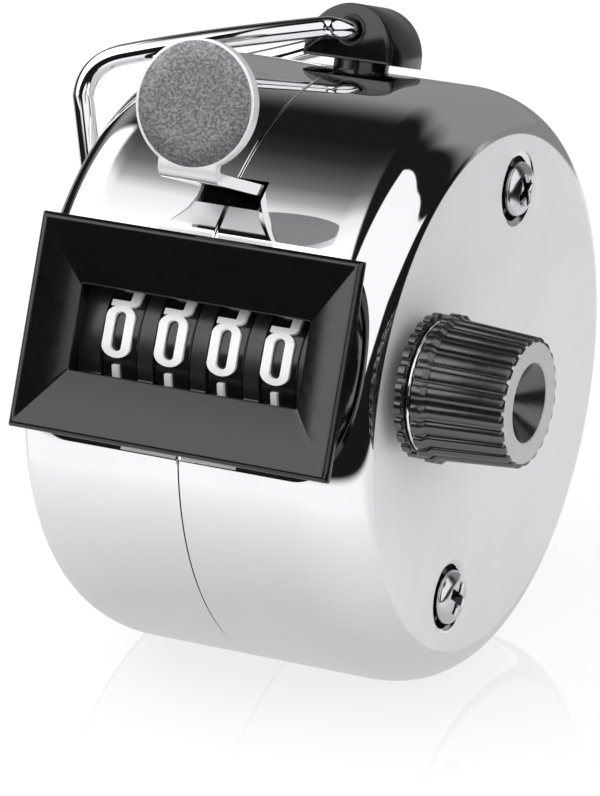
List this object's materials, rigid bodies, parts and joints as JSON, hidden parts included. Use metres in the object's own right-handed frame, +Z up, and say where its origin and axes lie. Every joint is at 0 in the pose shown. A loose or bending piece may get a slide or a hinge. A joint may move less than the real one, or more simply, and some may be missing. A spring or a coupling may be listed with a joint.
{
  "type": "tally counter",
  "caption": "Hand tally counter: chromed drum case with a thumb lever, numbered wheels behind a black window, a ribbed reset knob and a wire finger bail.",
  "frame": {"origin": "bottom centre of the whole object's box, on the plane that the drum's foot rests on", "axes": "+X along the drum's axis towards the reset knob, -Y towards the number window's side, +Z up"},
  "size_m": [0.0432, 0.047, 0.0522],
  "materials": {
    "chrome": "mirror plated",
    "black_plastic": "satin moulded",
    "wheel_plastic": "matt moulded",
    "zinc_steel": "bright zinc plated",
    "brass": "machined",
    "white_acetal": "moulded"
  },
  "bodies": {
    "case": {"left_shell": "chrome", "right_shell": "chrome", "window_bezel": "black_plastic", "upper_post": "zinc_steel", "lower_post": "zinc_steel", "upper_right_case_screw": "zinc_steel", "lower_right_case_screw": "zinc_steel", "upper_left_case_screw": "zinc_steel", "lower_left_case_screw": "zinc_steel", "left_frame_plate": "zinc_steel", "right_frame_plate": "zinc_steel", "lever_pivot_pin": "zinc_steel", "pinion_shaft": "zinc_steel", "spring_anchor_pin": "zinc_steel", "lever_spring": "zinc_steel", "detent_pin": "zinc_steel", "bail_hub": "black_plastic", "bail_hub_nut": "zinc_steel"},
    "lever": {"thumb_lever": "chrome", "drive_pawl_pin": "zinc_steel"},
    "drive_pawl": {"drive_pawl": "zinc_steel"},
    "detent_pawl": {"detent_pawl": "zinc_steel"},
    "knob": {"reset_knob": "black_plastic", "knob_flange": "black_plastic", "knob_spacer": "chrome", "number_shaft": "zinc_steel", "shaft_collar": "brass"},
    "units_wheel": {"units_wheel": "wheel_plastic", "units_ratchet": "brass"},
    "tens_wheel": {"tens_wheel": "wheel_plastic"},
    "hundreds_wheel": {"hundreds_wheel": "wheel_plastic"},
    "thousands_wheel": {"thousands_wheel": "wheel_plastic"},
    "tens_pinion": {"tens_pinion": "white_acetal"},
    "hundreds_pinion": {"hundreds_pinion": "white_acetal"},
    "thousands_pinion": {"thousands_pinion": "white_acetal"},
    "bail": {"bail_wire": "chrome"}
  },
  "joints": [
    {"name": "lever_press", "type": "hinge", "parent": "case", "child": "lever", "pos_m": [-0.00221, -0.00766, 0.03543], "axis": [1, 0, 0], "range_deg": [0, 7.5], "stiffness_Nm_per_rad": 0.02, "springref_deg": -28.65, "deforming": ["lever_spring"]},
    {"name": "drive_pawl_lift", "type": "hinge", "parent": "lever", "child": "drive_pawl", "pos_m": [0.00672, -0.00715, 0.02573], "axis": [-1, 0, 0], "range_deg": [0, 8], "stiffness_Nm_per_rad": 0.00002, "springref_deg": -28.65},
    {"name": "detent_pawl_lift", "type": "hinge", "parent": "case", "child": "detent_pawl", "pos_m": [0.00672, -0.0102, 0.03191], "axis": [-1, 0, 0], "range_deg": [0, 8], "stiffness_Nm_per_rad": 0.00002, "springref_deg": -28.65},
    {"name": "reset_knob_turn", "type": "hinge", "parent": "case", "child": "knob", "pos_m": [0.01799, -0.0128, 0.02736], "axis": [1, 0, 0], "continuous": true},
    {"name": "units_wheel_turn", "type": "hinge", "parent": "case", "child": "units_wheel", "pos_m": [0.00457, -0.0128, 0.02736], "axis": [1, 0, 0], "continuous": true},
    {"name": "tens_wheel_turn", "type": "hinge", "parent": "case", "child": "tens_wheel", "pos_m": [0.00025, -0.0128, 0.02736], "axis": [1, 0, 0], "continuous": true},
    {"name": "hundreds_wheel_turn", "type": "hinge", "parent": "case", "child": "hundreds_wheel", "pos_m": [-0.00407, -0.0128, 0.02736], "axis": [1, 0, 0], "continuous": true},
    {"name": "thousands_wheel_turn", "type": "hinge", "parent": "case", "child": "thousands_wheel", "pos_m": [-0.00839, -0.0128, 0.02736], "axis": [1, 0, 0], "continuous": true},
    {"name": "tens_pinion_turn", "type": "hinge", "parent": "case", "child": "tens_pinion", "pos_m": [0.0017, -0.00744, 0.02286], "axis": [1, 0, 0], "continuous": true},
    {"name": "hundreds_pinion_turn", "type": "hinge", "parent": "case", "child": "hundreds_pinion", "pos_m": [-0.00262, -0.00744, 0.02286], "axis": [1, 0, 0], "continuous": true},
    {"name": "thousands_pinion_turn", "type": "hinge", "parent": "case", "child": "thousands_pinion", "pos_m": [-0.00694, -0.00744, 0.02286], "axis": [1, 0, 0], "continuous": true},
    {"name": "bail_swing", "type": "hinge", "parent": "case", "child": "bail", "pos_m": [-0.00221, 0.00878, 0.04611], "axis": [0, 0.9516, -0.3074], "range_deg": [0, 180]}
  ],
  "couplings": [
    {"joint": "tens_wheel_turn", "follows": "units_wheel_turn", "ratio": 0.1},
    {"joint": "hundreds_wheel_turn", "follows": "units_wheel_turn", "ratio": 0.01},
    {"joint": "thousands_wheel_turn", "follows": "units_wheel_turn", "ratio": 0.001},
    {"joint": "tens_pinion_turn", "follows": "units_wheel_turn", "ratio": -0.25},
    {"joint": "hundreds_pinion_turn", "follows": "units_wheel_turn", "ratio": -0.025},
    {"joint": "thousands_pinion_turn", "follows": "units_wheel_turn", "ratio": -0.0025}
  ]
}
